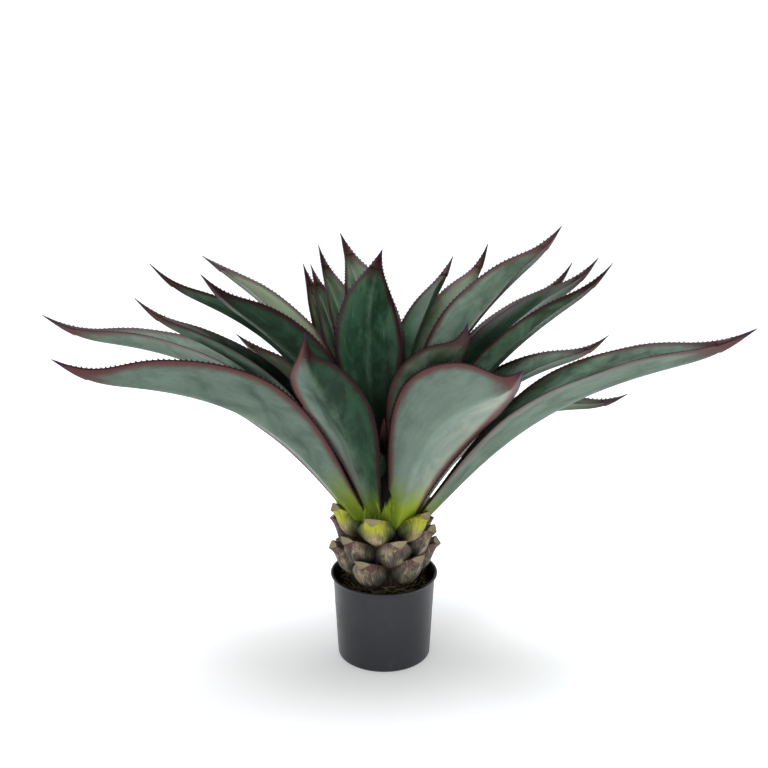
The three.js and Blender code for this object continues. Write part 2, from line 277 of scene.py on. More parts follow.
# Fixed tints that the materials mix with the colours of the settings
TINTS = {
    "bloom_shade": srgb(112, 131, 119),
    "bloom_light": srgb(168, 172, 158),
    # Painted highlight along the leaf keel
    "keel": srgb(122, 140, 118),
    "leaf_fibre": srgb(20, 34, 25),
    "scuff": srgb(150, 160, 140),
    # Painted shade in the leaves' channels
    "painted_channel_shade": srgb(12, 20, 13),
    # Painted shade at the leaf roots
    "painted_root_shade": srgb(15, 23, 13),
    "lime_shade": srgb(96, 116, 32),
    "pot_smear": srgb(28, 29, 37),
    "dust": srgb(92, 90, 88),
    "soil_shade": srgb(14, 11, 9),
    "soil_patch": srgb(52, 44, 32),
    "moss_shade": srgb(54, 46, 30),
    "thread": srgb(172, 178, 60),
    "thread_shade": srgb(104, 118, 40),
    "stub_dark": srgb(58, 58, 50),
    # Painted shade on the flanks of the newest stubs
    "stub_painted_flank_shade": srgb(84, 98, 26),
    "stub_belly": srgb(108, 92, 78),
    "stub_line": srgb(48, 42, 34),
    "stub_pale": srgb(196, 186, 152),
    # Painted shade on the stubs' flanks and feet
    "stub_painted_shade": srgb(30, 28, 20),
    "cut_pore": srgb(172, 156, 124),
    "cut_stain": srgb(160, 134, 96),
    "stem_dark": srgb(26, 22, 18),
    "stem_light": srgb(62, 52, 38),
    "clasp_dark": srgb(86, 104, 28),
    "clasp_light": srgb(134, 152, 42),
    # Near-black painted shade for the heart deep in the rosette
    "heart_shade_deep": srgb(7, 10, 5),
    "heart_shade_pale": srgb(16, 22, 9),
}


def colour_property(label, description, default):
    return bpy.props.FloatVectorProperty(
        name=label, description=description, default=default, subtype="COLOR", size=3, min=0, max=1
    )


def length_property(label, description, default):
    return bpy.props.FloatProperty(
        name=label, description=description, default=default, min=0, unit="LENGTH", precision=4
    )


def ease(start, end, value):
    """Smooth step from 0 at start to 1 at end."""
    share = np.clip((value - start) / (end - start), 0, 1)
    return share * share * (3 - 2 * share)


def relief(points, scale, seed):
    """Smooth noise from -1 to 1 at each point, for points in millimetres and bumps scale wide."""
    return np.array([noise.noise(Vector(point / scale) + Vector((seed, -seed, 0))) for point in points])


def around(rows, columns, first=0):
    """Faces of a closed tube: rows of points, each row a ring of that many columns."""
    row, column = np.meshgrid(np.arange(rows - 1), np.arange(columns), indexing="ij")
    here = first + row * columns + column
    beside = first + row * columns + (column + 1) % columns
    return np.stack([here, beside, beside + columns, here + columns], -1).reshape(-1, 4).tolist()


def outward(points, faces):
    """The faces, turned over if they face inwards."""
    fans = [(face[0], face[i], face[i + 1]) for face in faces for i in range(1, len(face) - 1)]
    first, second, third = (points[corner] for corner in np.array(fans).T)
    volume = np.einsum("ij,ij->i", first, np.cross(second, third)).sum()
    return faces if volume > 0 else [list(face)[::-1] for face in faces]


def add_piece(name, points, faces, materials, nodes=(), layers=None, face_materials=None):
    """One mesh piece from points in millimetres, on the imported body, standing for the given nodes."""
    points = np.asarray(points, float)
    mesh = bpy.data.meshes.new(name)
    mesh.from_pydata((points * MM).tolist(), [], [list(face) for face in faces])
    for label, values in (layers or {}).items():
        values = np.asarray(values, np.float32)
        kind = "FLOAT_VECTOR" if values.ndim == 2 else "FLOAT"
        layer = mesh.attributes.new(label, kind, "POINT")
        layer.data.foreach_set("vector" if values.ndim == 2 else "value", values.ravel())
    for material in materials:
        mesh.materials.append(material)
    mesh.polygons.foreach_set("use_smooth", [True] * len(mesh.polygons))
    if face_materials is not None:
        mesh.polygons.foreach_set("material_index", face_materials)
    mesh.update()
    piece = bpy.data.objects.new(name, mesh)
    bpy.context.scene.collection.objects.link(piece)
    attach(piece, BODY)
    if nodes:
        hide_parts(*nodes)
    return piece


class Finish:
    """A procedural material, built node by node round one Principled shader."""

    def __init__(self, name, **sockets):
        self.material = bpy.data.materials.new(name)
        self.material.use_nodes = True
        self.tree = self.material.node_tree
        self.shader = self.tree.nodes["Principled BSDF"]
        for socket, value in sockets.items():
            self.shader.inputs[socket.replace("_", " ")].default_value = value

    def put(self, socket, value):
        if isinstance(value, bpy.types.NodeSocket):
            self.tree.links.new(value, socket)
        elif hasattr(socket.default_value, "__len__") and len(socket.default_value) == 4:
            socket.default_value = (*value, 1)
        else:
            socket.default_value = value

    def attribute(self, name, output="Fac"):
        node = self.tree.nodes.new("ShaderNodeAttribute")
        node.attribute_name = name
        return node.outputs[output]

    def position(self):
        return self.tree.nodes.new("ShaderNodeTexCoord").outputs["Object"]

    def math(self, operation, first, second=0.0, third=0.0):
        node = self.tree.nodes.new("ShaderNodeMath")
        node.operation = operation
        for socket, value in zip(node.inputs, (first, second, third)):
            self.put(socket, value)
        return node.outputs[0]

    def scaled(self, vector, factors):
        node = self.tree.nodes.new("ShaderNodeVectorMath")
        node.operation = "MULTIPLY"
        self.put(node.inputs[0], vector)
        node.inputs[1].default_value = factors
        return node.outputs[0]

    def span(self, value, low, high, start=0.0, end=1.0):
        """Smooth step of value from low to high, given as start to end."""
        node = self.tree.nodes.new("ShaderNodeMapRange")
        node.interpolation_type = "SMOOTHSTEP"
        for label, entry in zip(("Value", "From Min", "From Max", "To Min", "To Max"),
                                (value, low, high, start, end)):
            self.put(node.inputs[label], entry)
        return node.outputs[0]

    def noise(self, vector, scale=1.0, detail=3.0, rough=0.55, distortion=0.0):
        node = self.tree.nodes.new("ShaderNodeTexNoise")
        self.put(node.inputs["Vector"], vector)
        node.inputs["Scale"].default_value = scale
        node.inputs["Detail"].default_value = detail
        node.inputs["Roughness"].default_value = rough
        node.inputs["Distortion"].default_value = distortion
        return node.outputs["Fac"]

    def mix(self, factor, first, second, blend="MIX"):
        node = self.tree.nodes.new("ShaderNodeMix")
        node.data_type = "RGBA"
        node.blend_type = blend
        self.put(node.inputs["Factor"], factor)
        self.put(node.inputs[COLOUR_A], first)
        self.put(node.inputs[COLOUR_B], second)
        return node.outputs[COLOUR_RESULT]

    def relief(self, height, distance, strength=1.0, below=None):
        node = self.tree.nodes.new("ShaderNodeBump")
        self.put(node.inputs["Height"], height)
        node.inputs["Distance"].default_value = distance
        node.inputs["Strength"].default_value = strength
        if below is not None:
            self.put(node.inputs["Normal"], below)
        return node.outputs["Normal"]

    def finish(self, **sockets):
        for socket, value in sockets.items():
            self.put(self.shader.inputs[socket.replace("_", " ")], value)
        return self.material


class AloeLeafSettings(bpy.types.PropertyGroup):
    tooth_pitch: length_property("Tooth pitch", "Distance from one saw tooth to the next", 0.0062)
    tooth_height: length_property("Tooth height", "How far a saw tooth stands off the margin", 0.0023)
    band: length_property("Red band", "Width of the red band along the margin", 0.013)
    deep: colour_property("Green", "Deep green of the bare skin", srgb(24, 46, 31))
    fresh: colour_property("Fresh green", "Lighter streaks of the bare skin", srgb(41, 73, 51))
    bloom: colour_property("Bloom", "Grey-green waxy bloom", srgb(126, 143, 133))
    olive: colour_property("Olive", "Tint of the older leaves", srgb(104, 112, 70))
    red: colour_property("Margin", "Burgundy of the margin", srgb(44, 12, 16))
    pale_red: colour_property("Pale margin", "Margin where the bloom lies on it", srgb(95, 58, 59))
    dark_red: colour_property("Teeth", "Colour of the toothed edge", srgb(26, 9, 15))
    tip: colour_property("Spine", "Indigo of the spine at the tip", srgb(50, 32, 60))
    base: colour_property("Leaf base", "Lime green at the root", srgb(138, 158, 44))


class AloeTrunkSettings(bpy.types.PropertyGroup):
    lime: colour_property("Fresh stub", "Yellow-green of the newest stubs", srgb(176, 176, 30))
    tan: colour_property("Tan patch", "Dry patches on the stubs", srgb(172, 156, 120))
    brown: colour_property("Old stub", "Brown-grey of the old stubs", srgb(80, 71, 64))
    purple: colour_property("Purple", "Purple-brown near the cut", srgb(98, 56, 60))
    cut: colour_property("Cut face", "Colour of the cut fibres", srgb(208, 194, 160))


class AloePotSettings(bpy.types.PropertyGroup):
    plastic: colour_property("Plastic", "Colour of the pot", srgb(23, 24, 31))
    rounding: length_property("Lip rounding", "Radius of the lip's rounded edges", 0.0008)


class AloeFillSettings(bpy.types.PropertyGroup):
    soil: colour_property("Soil", "Colour of the planting fill", srgb(30, 25, 20))
    crumb: length_property("Crumb", "Height of the crumbs on the fill", 0.0014)
    moss: colour_property("Moss", "Colour of the dry moss", srgb(150, 136, 88))
    strands: bpy.props.IntProperty(
        name="Strands", description="Number of moss strands", default=460, min=0
    )


class AloeStageSettings(bpy.types.PropertyGroup):
    floor: colour_property("Floor", "Colour of the floor and sweep", (0.86, 0.86, 0.86))
    glow: bpy.props.FloatProperty(
        name="Glow", description="Light given off by the backlit sweep", default=0.36, min=0
    )
    ambient: bpy.props.FloatProperty(
        name="Ambient", description="Strength of the light from all round", default=0.15, min=0
    )
    key_power: bpy.props.FloatProperty(
        name="Softbox", description="Power of the overhead softbox", default=80, min=0, unit="POWER"
    )
    front_power: bpy.props.FloatProperty(
        name="Front light", description="Power of the front light", default=10, min=0, unit="POWER"
    )
    wall_power: bpy.props.FloatProperty(
        name="Wall lights", description="Power of each light on the sweep",
        default=24, min=0, unit="POWER"
    )


def leaf_frames(leaf, s):
    """Tangent, side and upper normal of a leaf at shares s of its length."""
    rise, droop, curl, sweep = leaf[3:7]
    slope = np.radians(rise - droop * ease(DROOP_FROM, DROOP_TO, s) + curl * ease(CURL_FROM, 1, s))
    azimuth = np.radians(leaf[2] + sweep * s ** SWEEP_POWER)
    flat = np.cos(slope)
    tangent = np.stack([flat * np.cos(azimuth), flat * np.sin(azimuth), np.sin(slope)], -1)
    level = np.stack([-np.sin(azimuth), np.cos(azimuth), np.zeros_like(azimuth)], -1)
    roll = math.radians(leaf[9])
    side = level * math.cos(roll) + np.cross(tangent, level) * math.sin(roll)
    return tangent, side, np.cross(tangent, side)


def leaf_line(leaf, s):
    """Points of a leaf's centre line at shares s of its length."""
    height = leaf[1]
    share = max((height - HEART_BASE) / (HEART_TOP - HEART_BASE), 0)
    radius = STEM_RADIUS * math.sqrt(max(1 - share * share, 0)) - ROOT_SINK
    azimuth = math.radians(leaf[0])
    root = np.array([radius * math.cos(azimuth), radius * math.sin(azimuth), height])
    middles = (np.arange(CURVE_STEPS) + 0.5) / CURVE_STEPS
    steps = leaf_frames(leaf, middles)[0] * leaf[7] / CURVE_STEPS
    line = np.vstack([root, root + np.cumsum(steps, 0)])
    knots = np.linspace(0, 1, CURVE_STEPS + 1)
    return np.stack([np.interp(s, knots, line[:, axis]) for axis in range(3)], -1)


def half_width(leaf, s):
    """Distance from the keel to the margin along the surface, at shares s of the length."""
    grown = BASE_WIDTH_SHARE + (1 - BASE_WIDTH_SHARE) * ease(0, WIDEST_AT, s)
    past = np.maximum((s - TAPER_FROM) / (1 - TAPER_FROM), 0)
    hollow = 1 - TAPER_HOLLOW * ease(HOLLOW_FROM, 1, past)
    return leaf[8] / 2 * grown * (1 - past ** TAPER_POWER) * hollow


def leaf_stations(leaf, pitch):
    """Shares of the length with the tooth's height and lean at each, from the root to the spine."""
    length = leaf[7]
    teeth = max(int(round(length * (TEETH_TO - TEETH_FROM) / pitch)), 1)
    step = (TEETH_TO - TEETH_FROM) / teeth
    base_rings = max(int(TEETH_FROM * length / BASE_RING_GAP), 3)
    stations = [(s, 0.0, 0.0) for s in np.linspace(0, TEETH_FROM, base_rings, endpoint=False)]
    for tooth in range(teeth):
        start = TEETH_FROM + tooth * step
        stations += [(start + share * step, height, lean) for share, height, lean in TOOTH_STEPS]
    stations += [(s, 0.0, 0.0) for s in np.linspace(TEETH_TO, LAST_RING, TIP_RINGS)]
    return np.array(stations)


def leaf_section(leaf, s, reach):
    """How far each column lies beside and above the keel's line, and its tilt, at shares s."""
    fold = np.radians(leaf[10] * (1 + TIP_FOLD_SHARE * ease(TIP_FOLD_FROM, 1, s)))[:, None]
    fine = np.linspace(0, 1, FOLD_STEPS + 1)
    sharp = KEEL_FOLD - FOLD_EASE * fine
    slopes = fold * (sharp * (1 - np.exp(-(fine / KEEL_ROUNDING) ** 2)))
    keen = fold * sharp

    def summed(values):
        middle = (values[:, 1:] + values[:, :-1]) / 2
        return np.hstack([np.zeros((len(s), 1)), np.cumsum(middle, 1) / FOLD_STEPS])

    across = summed(np.cos(slopes))
    upward = summed(np.sin(slopes))
    upward += (summed(np.sin(keen)) - upward)[:, -1:]
    across *= summed(np.cos(keen))[:, -1:] / across[:, -1:]
    index = np.round(COLUMNS * FOLD_STEPS).astype(int)
    return across[:, index] * reach[:, None], upward[:, index] * reach[:, None], slopes[:, index]


def margin_teeth(random, s, stations, height):
    """Height of the toothed edge at each station."""
    count = len(s)
    sizes = random.uniform(*TOOTH_SIZES, count // len(TOOTH_STEPS) + 2)
    sizes = np.repeat(sizes, len(TOOTH_STEPS))[:count]
    teeth = height * stations[:, 1] * sizes * ease(1, 0.9, s)
    return teeth * ease(TEETH_FROM - 0.02, TEETH_FROM + 0.1, s)


def margin_sway(random, s, length):
    """How far the margin waves up and down at each station."""
    phase = random.uniform(0, 2 * math.pi, 2)
    short, long = (s * length / wave for wave in SWAY_WAVES)
    sway = SWAY * (np.sin(short + phase[0]) * 0.5 + np.sin(long + phase[1]))
    return sway * (ease(0.1, 0.4, s) * ease(1, 0.85, s))


def leaf_mesh(leaf, seed, settings):
    """Points, faces and layers of one fine leaf."""
    random = np.random.default_rng(100 + seed)
    stations = leaf_stations(leaf, settings.tooth_pitch / MM)
    s = stations[:, 0]
    length = leaf[7]
    tangent, side, normal = leaf_frames(leaf, s)
    line = leaf_line(leaf, s)
    spine = SPINE_RADIUS * np.clip((1 - s) / SPINE_SHARE, 0, 1) ** 0.8 * (s > 1 - SPINE_SHARE)
    reach = np.maximum(half_width(leaf, s), spine)
    across, upward, tilt = leaf_section(leaf, s, reach)

    body = 1 - (1 - TIP_THICKNESS_SHARE) * s
    profile = np.interp(COLUMNS, [0, MID_COLUMN, 1], [KEEL_THICKNESS, MID_THICKNESS, EDGE_THICKNESS])
    round_spine = SPINE_DEPTH_SHARE * spine[:, None] * np.sqrt(np.clip(1 - COLUMNS[None] ** 2, 0, 1))
    half = np.maximum(profile[None] * body[:, None] / 2, round_spine)
    teeth = {hand: margin_teeth(random, s, stations, settings.tooth_height / MM) for hand in (1, -1)}
    sways = {hand: margin_sway(random, s, length) for hand in (1, -1)}
    rings = []
    labels = []

    def column_line(hand, column):
        slope = tilt[:, column]
        facing = normal * np.cos(slope)[:, None] - side * (hand * np.sin(slope))[:, None]
        middle = line + side * (hand * across[:, column])[:, None] + normal * upward[:, column][:, None]
        return middle, facing

    def add_column(hand, column, face):
        middle, facing = column_line(hand, column)
        lift = sways[hand] * COLUMNS[column] ** 2
        rings.append(middle + facing * (face * half[:, column] + lift)[:, None])
        labels.append((hand * COLUMNS[column], (1 + face) / 2))

    def add_edge(hand):
        middle, facing = column_line(hand, -1)
        slope = tilt[:, -1]
        outwards = side * (hand * np.cos(slope))[:, None] + normal * np.sin(slope)[:, None]
        height = (teeth[hand] + MARGIN_EDGE * body)[:, None]
        lean = (stations[:, 2] * teeth[hand])[:, None]
        rings.append(middle + outwards * height + tangent * lean + facing * sways[hand][:, None])
        labels.append((hand * EDGE_LABEL, 0.5))

    outermost = len(COLUMNS) - 1
    for face in (1, -1):
        for column in range(outermost, 0, -1):
            add_column(-face, column, face)
        for column in range(outermost + 1):
            add_column(face, column, face)
        add_edge(face)

    grid = np.stack(rings, 1)
    rows, columns = grid.shape[:2]
    points = grid.reshape(-1, 3)
    faces = around(rows, columns)
    half_ring = columns // 2
    for column in range(half_ring - 2):
        facing = columns - 2 - column
        faces.append([column, facing, facing - 1, column + 1])
    faces.append([half_ring - 2, half_ring, half_ring - 1])
    faces.append([0, columns - 1, columns - 2])
    apex = len(points)
    points = np.vstack([points, leaf_line(leaf, np.array([1.0]))])
    last = (rows - 1) * columns
    faces += [[last + j, last + (j + 1) % columns, apex] for j in range(columns)]

    labels = np.array(labels)
    along = np.repeat(s, columns)
    across_share = np.tile(labels[:, 0], rows)
    inner = np.tile(labels[:, 1], rows)
    width = np.repeat(reach, columns)
    margin = np.maximum(width * (1 - np.abs(across_share)), 0) * max(FULL_BAND_WIDTH / leaf[8], 1)
    pattern = seed * PATTERN_STEP
    blade = np.stack([along * length, across_share * width, np.full(len(along), pattern)], -1)
    olive, inner_bloom, outer_bloom, lime, side_painted_light = FINISHES[seed - 1]
    # Painted light: one half of the blade gets more bloom than the other, like the side that catches
    # the light
    bloom = outer_bloom + (inner_bloom - outer_bloom) * inner + side_painted_light * across_share
    layers = {
        "along": np.append(along, 1),
        "across": np.append(across_share * width, 0),
        "margin": np.append(margin, 0),
        "blade": np.vstack([blade, [length, 0, pattern]]),
        "olive": np.full(len(points), olive),
        "inner": np.append(inner, 0),
        "lime": np.full(len(points), lime),
        "bloom": np.append(bloom, outer_bloom),
    }
    return points, outward(points, faces), layers


def leaf_finish(settings):
    """Leaf skin: cloudy green inside, grey bloom outside, red margins, indigo spine, lime root,
    with a painted highlight along the keel and painted shade in the channel and at the roots.
    """
    skin = Finish("leaf_skin", Specular_IOR_Level=0.12)
    along = skin.attribute("along")
    margin = skin.attribute("margin")
    blade = skin.attribute("blade", "Vector")
    across = skin.math("ABSOLUTE", skin.attribute("across"))
    clouds = skin.noise(skin.scaled(blade, (1 / 52, 1 / 24, 1)), detail=5, rough=0.6, distortion=0.6)
    streaks = skin.noise(skin.scaled(blade, (1 / 90, 1 / 5, 1)), detail=4, rough=0.6)
    fibres = skin.noise(skin.scaled(blade, (1 / 30, 1 / 0.9, 1)), detail=2)
    mottle = skin.noise(skin.scaled(blade, (1 / 9, 1 / 5, 1)), detail=4, rough=0.6)
    scuffs = skin.noise(skin.scaled(blade, (1 / 46, 1 / 1.6, 1)), detail=2, distortion=1.2)

    def centred(value, factor):
        return skin.math("MULTIPLY", skin.math("SUBTRACT", value, 0.5), factor)

    wax = skin.attribute("bloom")
    bloom = skin.math("ADD", wax, centred(clouds, 0.95))
    bloom = skin.math("ADD", bloom, centred(streaks, 0.14))
    # Painted highlight: a soft light band within 8 mm of the keel, broken up by the clouds
    keel = skin.math("MULTIPLY", skin.span(across, 0.5, 8.0, 1.0, 0.0),
                     skin.span(clouds, 0.3, 0.6, 0.3, 1.0))
    deep = skin.mix(skin.span(clouds, 0.32, 0.68), settings.deep, settings.fresh)
    grey = skin.mix(skin.span(streaks, 0.2, 0.8), settings.bloom, TINTS["bloom_shade"])
    grey = skin.mix(skin.span(bloom, 0.95, 1.6), grey, TINTS["bloom_light"])
    colour = skin.mix(skin.span(bloom, 0.0, 1.0), deep, grey)
    colour = skin.mix(skin.math("MULTIPLY", skin.attribute("olive"), 0.6), colour, settings.olive)
    # Lay the painted keel highlight over the skin
    colour = skin.mix(skin.math("MULTIPLY", keel, 0.15), colour, TINTS["keel"])
    colour = skin.mix(skin.span(fibres, 0.35, 0.7, 0.0, 0.05), colour, TINTS["leaf_fibre"])
    colour = skin.mix(skin.span(scuffs, 0.66, 0.72, 0.0, 0.16), colour, TINTS["scuff"])

    # Painted shade: inner faces darken towards the root, where the channel lies in shade
    inner_base_shade = skin.math("MULTIPLY", skin.attribute("inner"), skin.span(along, 0.15, 0.6, 0.55, 0.0))
    colour = skin.mix(inner_base_shade, colour, TINTS["painted_channel_shade"])
    wander = skin.math("ADD", centred(streaks, 0.06), along)
    # Painted shade darkens the roots of leaves with less lime; the lack of lime also shortens the lime
    # band
    lime_lack = skin.math("SUBTRACT", 1.0, skin.attribute("lime"))
    colour = skin.mix(skin.math("MULTIPLY", lime_lack, skin.span(along, 0.05, 0.42, 0.85, 0.0)), colour,
                      TINTS["painted_root_shade"])
    base_share = skin.span(skin.math("MULTIPLY_ADD", lime_lack, 0.25, wander), 0.09, 0.25, 1.0, 0.0)
    lime = skin.mix(skin.span(bloom, 0.4, 1.2), TINTS["lime_shade"], settings.base)
    colour = skin.mix(base_share, colour, lime)

    band = settings.band / MM
    grown = skin.math("MULTIPLY", skin.span(along, 0.06, 0.28, 0.35 * band, band),
                      skin.span(wax, 0.2, 0.9, 0.6, 1.0))
    depth = skin.math("ADD", margin, skin.math("ADD", centred(mottle, 2.0), centred(clouds, 5.0)))
    edge_share = skin.span(depth, skin.math("MULTIPLY", grown, 0.3),
                           skin.math("MULTIPLY", grown, 1.25), 1.0, 0.0)
    reds = skin.mix(skin.span(wax, 0.15, 0.65), settings.red, settings.pale_red)
    reds = skin.mix(skin.span(margin, 0.5, 3.0, 0.95, 0.0), reds, settings.dark_red)
    colour = skin.mix(edge_share, colour, reds)
    colour = skin.mix(skin.span(wander, 0.8, 0.93, 0.0, 0.92), colour, reds)
    colour = skin.mix(skin.span(along, 0.94, 0.99, 0.0, 0.85), colour, settings.tip)

    rough = skin.math("ADD", skin.span(bloom, 0.0, 1.0, 0.34, 0.5), centred(clouds, 0.3))
    fine = skin.relief(fibres, 0.00006, 0.4)
    normal = skin.relief(streaks, 0.0003, 0.2, fine)
    normal = skin.relief(clouds, 0.0016, 0.3, normal)
    return skin.finish(Base_Color=colour, Roughness=rough, Normal=normal)


def ring_of(radius, z, columns):
    """Points of a level circle round the axis."""
    turn = np.linspace(0, 2 * math.pi, columns, endpoint=False)
    return np.stack([radius * np.cos(turn), radius * np.sin(turn), np.full(columns, z)], -1)


def lathe(profile, columns):
    """Points and faces of a closed turned solid: profile runs from the axis round and back to it."""
    inner = profile[1:-1]
    points = np.vstack([ring_of(radius, z, columns) for radius, z in inner]
                       + [[[0, 0, profile[0][1]]], [[0, 0, profile[-1][1]]]])
    faces = around(len(inner), columns)
    bottom = len(inner) * columns
    last = bottom - columns
    for j in range(columns):
        k = (j + 1) % columns
        faces.append([bottom, k, j])
        faces.append([bottom + 1, last + j, last + k])
    return points, outward(points, faces)


def arc(centre_r, centre_z, radius, start, end, steps):
    """Points of an arc in the profile's plane, angles in degrees from the outward direction."""
    turn = np.radians(np.linspace(start, end, steps))
    return [(centre_r + radius * math.cos(a), centre_z + radius * math.sin(a)) for a in turn]


def spread(start, end, steps):
    """Points between two profile points, without the ends."""
    share = np.linspace(0, 1, steps + 2)[1:-1]
    return [(start[0] + (end[0] - start[0]) * t, start[1] + (end[1] - start[1]) * t) for t in share]


def pot_profile(rounding):
    """Radius and height of the pot's section, from the middle of its foot round to its floor."""
    lip_bottom = POT_HEIGHT - RIM_DEPTH
    profile = [(0, 0)]
    profile += spread((0, 0), (BODY_FOOT_RADIUS - FOOT_ROUNDING, 0), 6)
    profile += arc(BODY_FOOT_RADIUS - FOOT_ROUNDING, FOOT_ROUNDING, FOOT_ROUNDING, -90, 0, 7)
    wall = profile[-1]
    profile += spread(wall, (BODY_TOP_RADIUS, lip_bottom - rounding), 24)
    profile += [(BODY_TOP_RADIUS, lip_bottom - rounding)]
    profile += arc(RIM_RADIUS - rounding, lip_bottom + rounding, rounding, -90, 0, 5)
    profile += arc(RIM_RADIUS - rounding, POT_HEIGHT - rounding, rounding, 0, 90, 6)
    inside_top = RIM_RADIUS - POT_WALL
    profile += arc(inside_top, POT_HEIGHT - rounding, rounding, 90, 180, 6)
    profile += [(BODY_TOP_RADIUS - POT_WALL, lip_bottom - RIM_DEPTH)]
    inside_foot = (BODY_FOOT_RADIUS - POT_WALL, POT_FLOOR)
    profile += spread(profile[-1], inside_foot, 10)
    profile += [inside_foot]
    profile += spread(inside_foot, (0, POT_FLOOR), 4)
    profile += [(0, POT_FLOOR)]
    return profile


def plastic_finish(settings):
    """Satin black plastic with a fine grain, faint smears and a little dust."""
    plastic = Finish("pot_plastic", Specular_IOR_Level=0.5)
    place = plastic.position()
    grain = plastic.noise(place, scale=1400, detail=2)
    smears = plastic.noise(plastic.scaled(place, (9, 9, 26)), detail=4, rough=0.6)
    dust = plastic.noise(place, scale=60, detail=6, rough=0.7)
    dusty = plastic.math("MULTIPLY", plastic.span(dust, 0.5, 0.75), plastic.span(smears, 0.35, 0.7))
    colour = plastic.mix(plastic.span(smears, 0.3, 0.7), settings.plastic, TINTS["pot_smear"])
    colour = plastic.mix(plastic.math("MULTIPLY", dusty, 0.25), colour, TINTS["dust"])
    rough = plastic.math("ADD", plastic.span(smears, 0.25, 0.75, 0.30, 0.42),
                         plastic.math("MULTIPLY", dusty, 0.2))
    normal = plastic.relief(grain, 0.00006, 0.5)
    return plastic.finish(Base_Color=colour, Roughness=rough, Normal=normal)


def soil_finish(settings):
    """Dark crumbs with a few dry patches."""
    soil = Finish("planting_soil", Specular_IOR_Level=0.3)
    place = soil.position()
    crumbs = soil.noise(place, scale=420, detail=5, rough=0.7)
    patches = soil.noise(place, scale=70, detail=3)
    colour = soil.mix(soil.span(crumbs, 0.4, 0.68), TINTS["soil_shade"], settings.soil)
    colour = soil.mix(soil.span(patches, 0.5, 0.75, 0.0, 0.3), colour, TINTS["soil_patch"])
    rough = soil.span(crumbs, 0.3, 0.7, 0.98, 0.82)
    normal = soil.relief(crumbs, 0.0012, 0.9)
    return soil.finish(Base_Color=colour, Roughness=rough, Normal=normal)


def moss_finish(name, light, dark):
    """Thin strands, each in its own tone between dark and light."""
    moss = Finish(name, Specular_IOR_Level=0.3, Sheen_Weight=0.15)
    tone = moss.attribute("tone")
    place = moss.noise(moss.position(), scale=300, detail=3)
    colour = moss.mix(moss.span(moss.math("ADD", tone, place), 0.5, 1.4), dark, light)
    rough = moss.span(place, 0.3, 0.7, 0.7, 0.9)
    return moss.finish(Base_Color=colour, Roughness=rough, Normal=moss.relief(place, 0.0002, 0.6))


def strand_tubes(paths, radii, sides=5):
    """Thin closed tubes along paths, tapering to both ends."""
    points = []
    faces = []
    tones = []
    for number, (path, radius) in enumerate(zip(paths, radii)):
        steps = len(path)
        first = len(points)
        direction = np.gradient(path, axis=0)
        direction /= np.linalg.norm(direction, axis=1)[:, None]
        helper = np.array([0.31, 0.2, 0.93])
        flank = np.cross(direction, helper)
        flank /= np.linalg.norm(flank, axis=1)[:, None]
        lift = np.cross(direction, flank)
        for i in range(steps):
            thin = radius * (0.35 + 0.65 * math.sin(math.pi * (i + 0.5) / steps))
            for j in range(sides):
                turn = 2 * math.pi * j / sides
                points.append(path[i] + thin * (math.cos(turn) * flank[i] + math.sin(turn) * lift[i]))
        faces += around(steps, sides, first)
        faces.append([first + j for j in range(sides)][::-1])
        faces.append([first + (steps - 1) * sides + j for j in range(sides)])
        tones += [(number * 0.618) % 1] * (steps * sides)
    return np.array(points), faces, np.array(tones)


def through(knots, values, at):
    """Smooth curve through knots, each column of values on its own."""
    knots = np.asarray(knots, float)
    values = np.asarray(values, float)
    slopes = np.gradient(values, knots, axis=0)
    place = np.clip(np.searchsorted(knots, at, side="right") - 1, 0, len(knots) - 2)
    gap = (knots[place + 1] - knots[place])
    t = (at - knots[place]) / gap
    shape = (len(at),) + (1,) * (values.ndim - 1)
    t = t.reshape(shape)
    gap = gap.reshape(shape)
    low, high = values[place], values[place + 1]
    low_slope, high_slope = slopes[place] * gap, slopes[place + 1] * gap
    return ((2 * t ** 3 - 3 * t ** 2 + 1) * low + (t ** 3 - 2 * t ** 2 + t) * low_slope
            + (3 * t ** 2 - 2 * t ** 3) * high + (t ** 3 - t ** 2) * high_slope)


